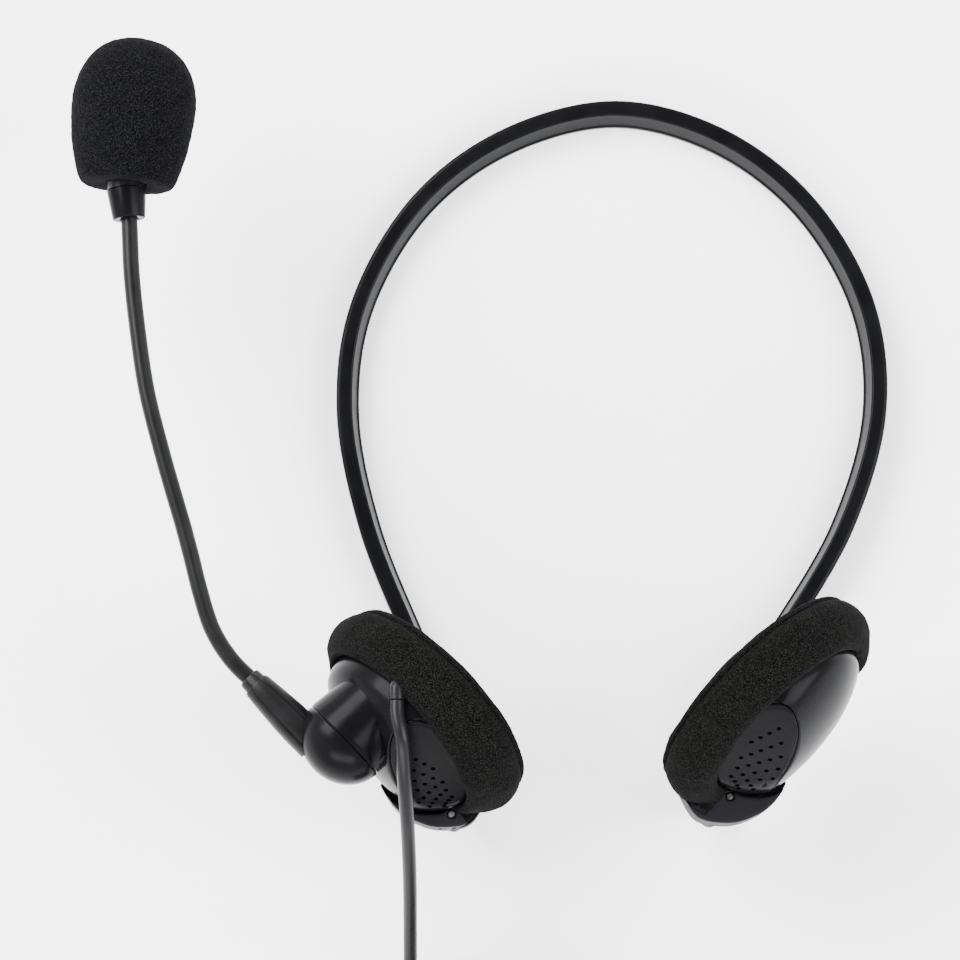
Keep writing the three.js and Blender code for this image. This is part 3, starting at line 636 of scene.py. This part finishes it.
def add_plug():
    """The moulded grip, with a ribbed strain relief."""
    profile = [(0, 0), (1.75, 0, 0.2)]
    for rib in range(4):
        at = 1.4 + 2 * rib
        low = 1.9 + 0.12 * rib
        high = low + 0.25
        profile += [
            (low, at - 0.4, 0.2), (high, at, 0.2), (high, at + 0.8, 0.2), (low, at + 1.2, 0.2)]
    profile += [
        (2.6, 9.4, 0.5), (3.8, 11, 0.8), (3.8, 14, 0.1), (3.6, 14.3, 0.1), (3.6, 14.7, 0.1),
        (3.8, 15, 0.1), (3.8, 25, 1.0), (3.1, 27, 0.4), (0, 27)]
    grip = lathe("plug_grip", rounded(profile, 3), plug_frame(), 48)
    return finish(grip, "neckband", "cable_jacket", "plug_body")


def add_plug_pin():
    """The jack: a 3.5 mm pin with two insulating grooves, a neck and a tip."""
    radius, groove_radius = 1.75, 1.62
    profile = [(0, 27.1), (2.6, 27.1, 0.2), (2.6, 28, 0.2), (radius, 28)]
    for at in (31.4, 34.8):
        profile += [
            (radius, at), (groove_radius, at + 0.15),
            (groove_radius, at + 0.75), (radius, at + 0.9)]
    profile += [
        (radius, 38.4, 0.3), (1.2, 39.3, 0.3), (1.62, 40.6, 0.5), (0.5, 42, 0.3), (0, 42)]
    pin = lathe("plug_pin", rounded(profile, 3), plug_frame(), 40)
    return finish(pin, "neckband", "nickel", "plug_jack")


def add_tie():
    """A soft strap round all the turns."""
    low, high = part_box("cord_tie")
    middle = (low + high) / 2 / MM
    half_x, half_z = (high.x - low.x) / 2 / MM, (high.z - low.z) / 2 / MM
    corners = [(-half_x, -half_z), (half_x, -half_z), (half_x, half_z), (-half_x, half_z)]
    outline = rounded([(*corner, 3) for corner in corners], 8, True)
    rings = []
    for i, place in enumerate(outline):
        run = outline[(i + 1) % len(outline)] - outline[i - 1]
        inward = Vector((-run.y, run.x)).normalized() * 0.85
        inside = place + inward
        rings.append([
            (middle.x + p.x, middle.y + y, middle.z + p.y)
            for p, y in ((place, -1.8), (place, 1.8), (inside, 2), (inside, -2))])
    return finish(loft("cord_strap", rings, TABLE, looped=True), "neckband", "tie", "cord_tie")


def add_strain_relief():
    """A short tapered sleeve where the cord leaves the ear cup."""
    turn = GLAND_RUN.to_track_quat("Z", "Y").to_matrix().to_4x4()
    matrix = CUPS["left"] @ Matrix.Translation(GLAND) @ turn
    profile = rounded([
        (0, -3), (1.1, -3, 0.9), (1.75, -1.4, 1), (1.68, GLAND_NOSE, 0.1), (0, GLAND_NOSE)], 6)
    relief = lathe("strain_relief", profile, matrix, 40)
    return finish(relief, "cup_left", "cable_jacket", "cable_gland")


# -------------------------------------------------------- neckband and hooks


def add_neckband():
    """The strap: a flat top, an inner wall that slopes out to a bead, and a channel underneath."""
    x, y = BAND_WIDTH / 2, BAND_HEIGHT / 2
    slot, roof = CHANNEL_WIDTH / 2, CHANNEL_DEPTH - BAND_HEIGHT / 2
    section = rounded([
        (slot, -y, 0.15), (x, -y, 0.9), (x, y, 1.1), (0.5 - x, y, 0.7), (-x - 0.6, 2 - y, 0.5),
        (-x - 1, 1.7 - y, 0.3), (-x - 1, -y, 0.6), (-slot, -y, 0.15), (-slot, roof, 0.2),
        (slot, roof, 0.2)], 6, True)
    path = curve_through(BAND_PATH, 2)
    up = Vector((0, 0, 1))
    rings = []
    for i, centre in enumerate(path):
        run = (path[min(i + 1, len(path) - 1)] - path[max(i - 1, 0)]).normalized()
        outward = Vector((-run.y, run.x, 0))
        rings.append([centre + outward * a + up * (b + BAND_HEIGHT / 2) for a, b in section])
    finish(loft("neckband_strap", rings, TABLE, crease=50), "neckband", "gloss_black", "neckband")


def softened(name, node, voxel, passes):
    """A CAD node's shape with its edges rounded off."""
    piece = add_object(name, frame["nodes"][node].data.copy())
    remesh = piece.modifiers.new("remesh", "REMESH")
    remesh.mode = "VOXEL"
    remesh.voxel_size = voxel * MM
    smooth = piece.modifiers.new("smooth", "SMOOTH")
    smooth.factor = 0.5
    smooth.iterations = passes
    apply_modifiers(piece)
    shade(piece.data, 180)
    return piece


def add_hooks():
    """The ear hooks, which share the record's gloss_black slot but look duller."""
    for side in ("left", "right"):
        node = f"hook_arm_{side}"
        hook = softened(f"ear_hook_{side}", node, 0.3, 16)
        finish(hook, "neckband", "gloss_black", node, material="hook_black")


# -------------------------------------------------------- ear cups


def shell_height(x, y):
    """The housing's outside over a point of the disc: a low dome with a round shoulder."""
    dx, dy = (x - DOME_CENTRE.x) / DOME_RADII.x, y / DOME_RADII.y
    dome = DOME_CENTRE.z + DOME_RADII.z * math.sqrt(max(0, 1 - dx * dx - dy * dy))
    shoulder = SHOULDER_HEIGHT * max(0, 1 - (math.hypot(x, y) / SHOULDER_RADIUS) ** 3) ** (1 / 3)
    return smooth_min(dome, shoulder, 1.5)


def facet_height(x, y):
    """The slightly crowned plane of the grille."""
    foot = GRILLE_NORMAL * GRILLE_OFFSET
    crown = 0.0025 * ((x - foot.x) ** 2 + (y - foot.y) ** 2)
    return (GRILLE_OFFSET - GRILLE_NORMAL.x * x - GRILLE_NORMAL.y * y) / GRILLE_NORMAL.z - crown


def front_end(x):
    """0 over most of the cup, 1 at its front end, where the grille rolls over into the shell."""
    return 1 - smoothstep(-17, -9, x)


def outer_height(x, y):
    return smooth_min(shell_height(x, y), facet_height(x, y), 0.4 + 3.4 * front_end(x))


class GrilleRay:
    """A ray from the grille's middle: how far the grille reaches, and how far the housing does."""

    def __init__(self, angle):
        self.run = Vector((math.cos(angle), math.sin(angle)))
        self.towards = GRILLE_MIDDLE.dot(self.run)
        self.square = self.towards**2 - GRILLE_MIDDLE.length_squared
        self.rim = self.on_circle(RIM_RADIUS)
        self.edge, self.by_ledge = self.grille_end()

    def at(self, distance):
        return GRILLE_MIDDLE + self.run * distance

    def on_circle(self, radius):
        """The distance at which the ray crosses a circle round the cup's axis."""
        return -self.towards + math.sqrt(self.square + radius**2)

    def grille_end(self):
        """Where the grille meets the dome or the ledge, by halving, and whether it is the ledge."""
        low, high = 1.0, self.rim - 0.7
        for _ in range(24):
            middle = (low + high) / 2
            x, y = self.at(middle)
            over = facet_height(x, y) > shell_height(x, y) + 2.2 * front_end(x)
            if over or facet_height(x, y) < LEDGE_HEIGHT:
                high = middle
            else:
                low = middle
        return high, facet_height(*self.at(high)) < LEDGE_HEIGHT + 0.5

    def grille_point(self, distance, drop=0.0):
        x, y = self.at(distance)
        return Vector((x, y, outer_height(x, y) - drop))

    def shell_point(self, distance, drop=0.0):
        x, y = self.at(distance)
        height = outer_height(x, y)
        if self.by_ledge:
            height = smooth_min(LEDGE_HEIGHT, shell_height(x, y), 0.5)
        return Vector((x, y, max(height, 3.0) - drop))


RAYS = [GrilleRay(2 * math.pi * i / RAY_COUNT) for i in range(RAY_COUNT)]


def shell_rings():
    """Closed loops from the grille's edge over the dome to the flange, and back inside."""
    rings = []
    gap = 0.15  # between the grille and the shell's lip
    for out, drop in ((gap, GRILLE_DROP + 0.2), (gap, 0.35), (gap + 0.08, 0.12), (gap + 0.3, 0)):
        rings.append([ray.shell_point(ray.edge + out, drop) for ray in RAYS])
    outer_steps, inner_steps = 34, 10
    for k in range(1, outer_steps + 1):
        share = math.sin(k / outer_steps * math.pi / 2)
        rings.append([ray.shell_point(mix(ray.edge + 0.3, ray.rim, share)) for ray in RAYS])
    for radius, height in RIM_FLANGE:
        rings.append([Vector((*ray.at(ray.on_circle(radius)), height)) for ray in RAYS])
    for k in range(inner_steps):
        share = math.cos(k / inner_steps * math.pi / 2)
        ring = []
        for ray in RAYS:
            outermost = max(ray.on_circle(19.4), ray.edge + 0.7)
            ring.append(ray.shell_point(mix(ray.edge + 0.6, outermost, share), SHELL_WALL + 0.6))
        rings.append(ring)
    for out, drop in ((-1.6, GRILLE_DROP + 1.4), (-1.6, GRILLE_DROP + 0.2)):
        rings.append([ray.grille_point(ray.edge + out, drop) for ray in RAYS])
    return rings


def add_shell(side):
    shell = loft(f"cup_shell_{side}", shell_rings(), CUPS[side], looped=True, crease=60)
    finish(shell, f"cup_{side}", "gloss_black", f"housing_{side}")


def hole_places(side):
    """Rows of holes, each further towards the front end, closing up where the grille rolls over."""
    start = HOLE_START[side]
    across = Vector((0, 1, 0)).cross(HOLE_PLANE).normalized()
    along = HOLE_PLANE.cross(across)
    upright = (CUPS["left"].inverted().to_3x3() @ Vector((0, 0, 1))).normalized()
    for row, count in enumerate(HOLE_ROWS):
        pitch = HOLE_PITCH + HOLE_PITCH_GROWTH * row
        for column in range(count):
            x = 2.2 - 0.24 * row**2 - pitch * column
            y = start - (14.7 + start) * math.sin(0.26 * row) - (0.28 - 0.12 * row) * pitch * column
            place = HOLE_PLANE * HOLE_PLANE_OFFSET + across * x + along * y
            rise = (GRILLE_OFFSET - GRILLE_NORMAL.dot(place)) / GRILLE_NORMAL.dot(upright)
            yield place + upright * rise


def grille_rings():
    """From the middle over the top to the rounded edge, down it, and back along the underside."""
    inset = -0.2  # from the shell's edge
    rings = [[Vector((*GRILLE_MIDDLE, outer_height(*GRILLE_MIDDLE)))] * len(RAYS)]
    for k in range(1, 16):
        rings.append([ray.grille_point((ray.edge + inset - 0.3) * k / 15) for ray in RAYS])
    for out, drop in ((inset - 0.08, 0.1), (inset, 0.3), (inset, GRILLE_DROP)):
        rings.append([ray.grille_point(ray.edge + out, drop) for ray in RAYS])
    for k in range(5, -1, -1):
        rings.append([
            ray.grille_point((ray.edge + inset) * k / 6 + 0.001, GRILLE_DROP) for ray in RAYS])
    return rings


def hole_cutter(side):
    """A rod through the grille for each hole, all in one mesh."""
    turn = GRILLE_NORMAL.to_track_quat("Z", "Y").to_matrix()
    points, faces = [], []
    for place in hole_places(side):
        first = len(points)
        for height in (-5, 4):
            rim = circle(HOLE_RADIUS, HOLE_SIDES)
            points += [place + turn @ Vector((x, y, height)) for x, y in rim]
        low, high = [range(at, at + HOLE_SIDES) for at in (first, first + HOLE_SIDES)]
        faces += [tuple(low), tuple(high)]
        faces += [(low[i], low[i - 1], high[i - 1], high[i]) for i in range(HOLE_SIDES)]
    return mesh_piece("hole_cutter", points, faces, CUPS[side])


def add_grille(side):
    grille = loft(f"cup_grille_{side}", grille_rings(), CUPS[side], capped=False, crease=40)
    cut(grille, hole_cutter(side))
    finish(grille, f"cup_{side}", "gloss_black", f"grille_{side}")


def foam_surface(seed, depth):
    """How far an open-cell surface stands above or below its smooth shape: a broad swell and, depth
    high, finer waves."""
    offset = Vector((seed * 17.3, seed * 5.1, seed * 9.7))

    def amount(place):
        coarse = noise.noise(place * 0.14 + offset) * 0.28
        return coarse + depth * noise.noise(place * 0.75 + offset)

    return amount


def pad_ring(radius, height, fit):
    """A ring of the foam's outside, crept to fit its cup but held off the hook at the lower end."""
    share = smoothstep(22, 26, radius)
    lip = smoothstep(4, 7, height) * (1 - 0.9 * smoothstep(24, 27.5, radius))
    lift = mix(fit["face"], fit["outward"] * share, smoothstep(-4, 0, height))
    stretch = mix(1, fit["stretch"], share)
    ring = []
    for x, y in circle(max(radius, 1e-3), PAD_SIDES):
        above_hook = smoothstep(-20, -8, y)
        lip_reach = mix(fit["lip_front"], fit["lip_back"], smoothstep(-20, 20, x))
        reach = lip * above_hook * lip_reach
        inward = mix(1 - 0.035 * share, 1 - 0.018 * max(0, reach) * (1 - share), above_hook)
        across = fit["along"] * share + x * inward * stretch
        ring.append((across, y * inward, height + lift * above_hook + reach))
    return ring


def add_ear_pad(side, seed):
    """A foam cover: a crowned front cushion and a thicker rear lobe, with a crease between them."""
    outside = curve_through(PAD_OUTSIDE, 0.5)
    rings = [pad_ring(radius, height, PAD_FIT[side]) for radius, height, _ in outside]
    for radius, height in PAD_INSIDE:
        rings.append([(x, y, height) for x, y in circle(max(radius, 1e-3), PAD_SIDES)])
    pad = loft(f"ear_pad_{side}", rings, CUPS[side], crease=70)
    displaced(pad, foam_surface(seed, 0.09))
    finish(pad, f"cup_{side}", "ear_foam", f"ear_foam_{side}")


def add_lug(side):
    """The housing's lug, an arm that ends in an eye round the hook's pin."""
    pivot = (CUP_PIVOT.x, CUP_PIVOT.z)
    outline = arc(pivot, 2, range(80, 281, 20))
    outline += [(-12, CUP_PIVOT.z - 0.6), (-12, CUP_PIVOT.z + 2.6)]
    bore = arc(pivot, 1, [22.5 * i for i in range(16)])
    lug = prism(f"hinge_lug_{side}", outline, -17, -13, CUPS[side])
    cut(lug, prism("bore", bore, -18, -12, CUPS[side]))
    finish(lug, f"cup_{side}", "gloss_black")


def add_ear_cups():
    for seed, side in enumerate(("left", "right"), 1):
        add_shell(side)
        add_grille(side)
        add_ear_pad(side, seed)
        add_lug(side)


# -------------------------------------------------------- boom and microphone


def socket_foot(radius, sides):
    """The drum's lower edge: each point goes down from the seam until it is inside the housing."""
    to_cup = CUPS["left"].inverted() @ SWIVEL
    foot = []
    for x, y in circle(radius, sides):
        height = -1.5
        while height > -16:
            place = to_cup @ Vector((x, y, height))
            if place.z < outer_height(place.x, place.y) - 0.1:
                break
            height -= 0.1
        foot.append(Vector((x, y, height)))
    return foot


def add_socket():
    """The drum that stands on the housing, with a recess round the seam."""
    sides = 96
    profile = rounded([
        (10.2, -4), (BALL_RADIUS, -1.2, 0.4), (BALL_RADIUS, -0.1, 0.2), (9.45, -0.1),
        (9.4, 0.55, 0.1), (6, 0.55)], 4)
    rings = []
    for radius, height in profile:
        rings.append([Vector((x, y, height)) for x, y in circle(radius, sides)])
    foot = socket_foot(9.7, sides)
    middle = [[mix(a, b, share) for a, b in zip(foot, rings[0])] for share in (0.33, 0.66)]
    socket = loft("swivel_socket", [foot, *middle, *rings], SWIVEL)
    finish(socket, "cup_left", "gloss_black", "boom_socket")


def add_cap():
    """The half ball that turns on the drum."""
    seam = 0.05
    profile = [(0.0, 0.7), (9.6, 0.7), (9.6, seam), (BALL_RADIUS - 0.2, seam)]
    for i in range(31):
        turn = math.pi / 2 * (0.02 + 0.98 * i / 30)
        profile.append((BALL_RADIUS * math.cos(turn), seam + BALL_DEPTH * math.sin(turn)))
    finish(lathe("swivel_cap", profile, SWIVEL, 112), "boom", "gloss_black", "boom_cap")


def along_boom(points_at):
    """Turns (across, up, distance) points along the sleeve into the swivel's frame."""
    return [Vector((distance, up, SLEEVE_HEIGHT - across)) for across, up, distance in points_at]


def add_sleeve():
    """The boom's root: a tapered sleeve with two seam grooves along its top and a step near its
    narrow end.
    """
    stations = [
        (4, 4.2), (8.2, 4.25), (12, 4.15), (16, 3.85), (20, 3.5), (22.2, 3.25), (22.7, 3.1),
        (22.75, 2.8), (22.9, 2.75), (24.6, 2.6), (25.0, 2.4), (25.05, 2.1)]
    rings = []
    for distance, radius in stations:
        ring = []
        for x, y in circle(1, 64):
            seam = 0.93 if abs(abs(x) - 0.55) < 0.06 and y > 0 else 1.0
            ring.append((x * radius * seam, y * radius * seam, distance))
        rings.append(along_boom(ring))
    finish(loft("boom_root", rings, SWIVEL), "boom", "satin_black", "boom_sleeve")


def add_gooseneck():
    """One tube from the sleeve, past the boom's bend, to the microphone's collar."""
    distances = (12, 18, SLEEVE_END)
    inside = [SWIVEL @ Vector((distance, 0, SLEEVE_HEIGHT)) / MM for distance in distances]
    bend = Vector(JOINTS["boom_bend"]["pos_m"]) / MM
    level = [Vector((x, y, BOOM_HEIGHT)) for x, y in (*LOWER_TUBE, (bend.x, bend.y), *UPPER_TUBE)]
    path = curve_through([*inside, *level], 1.2)
    tube = loft("gooseneck", tube_rings(path, TUBE_RADIUS, 28), TABLE)
    finish(tube, None, "satin_black", "boom_tube_lower", "boom_tube_upper")
    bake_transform(tube)


def add_collar():
    """The tapered cup at the microphone's base, with a socket for the tube."""
    profile = rounded([
        (0, 4.2), (2.15, 4.2), (2.15, 0, 0.2), (3.7, 0, 0.35), (4.5, 6.9, 0.3), (0, 6.9)], 5)
    finish(lathe("collar", profile, MIC, 80), "mic_end", "gloss_black", "mic_collar")


def add_windscreen():
    """A foam ball with a flat cut base, pulled over the microphone."""
    outside = curve_through(WINDSCREEN_OUTSIDE, 0.5)
    profile = [*WINDSCREEN_BORE, *[(p.x, p.y) for p in outside]]
    lean = Matrix.Rotation(WINDSCREEN_LEAN, 4, "Y")
    matrix = MIC @ Matrix.Translation((0, 0, WINDSCREEN_BASE)) @ lean
    foam = lathe("windscreen_foam", profile, matrix, 240, crease=70)
    displaced(foam, foam_surface(3, 0.1))
    finish(foam, "foam_windscreen", "mic_foam", "windscreen")


def paint_cad_nodes():
    """The CAD nodes that are shown as they are get the record's finishes as real materials."""
    slots = {"band_spring": "spring_steel", "speaker_lead": "lead", "boom_screw": "spring_steel",
             "boom_washer": "nickel", "mic_barrel": "satin_black", "mic_capsule": "nickel"}
    for side in ("left", "right"):
        slots[f"hook_pin_{side}"] = "spring_steel"
        slots[f"baffle_{side}"] = "satin_black"
        slots[f"driver_frame_{side}"] = "driver_steel"
        slots[f"driver_magnet_{side}"] = "driver_steel"
        slots[f"driver_diaphragm_{side}"] = "film"
    for name, slot in slots.items():
        node = frame["nodes"][name]
        for material_slot in node.material_slots:
            material_slot.material = MATERIALS[slot]


add_camera()
add_cord()
add_neckband()
add_hooks()
add_ear_cups()
add_socket()
add_cap()
add_sleeve()
add_gooseneck()
add_collar()
add_windscreen()
paint_cad_nodes()
add_floor()
light_the_room()
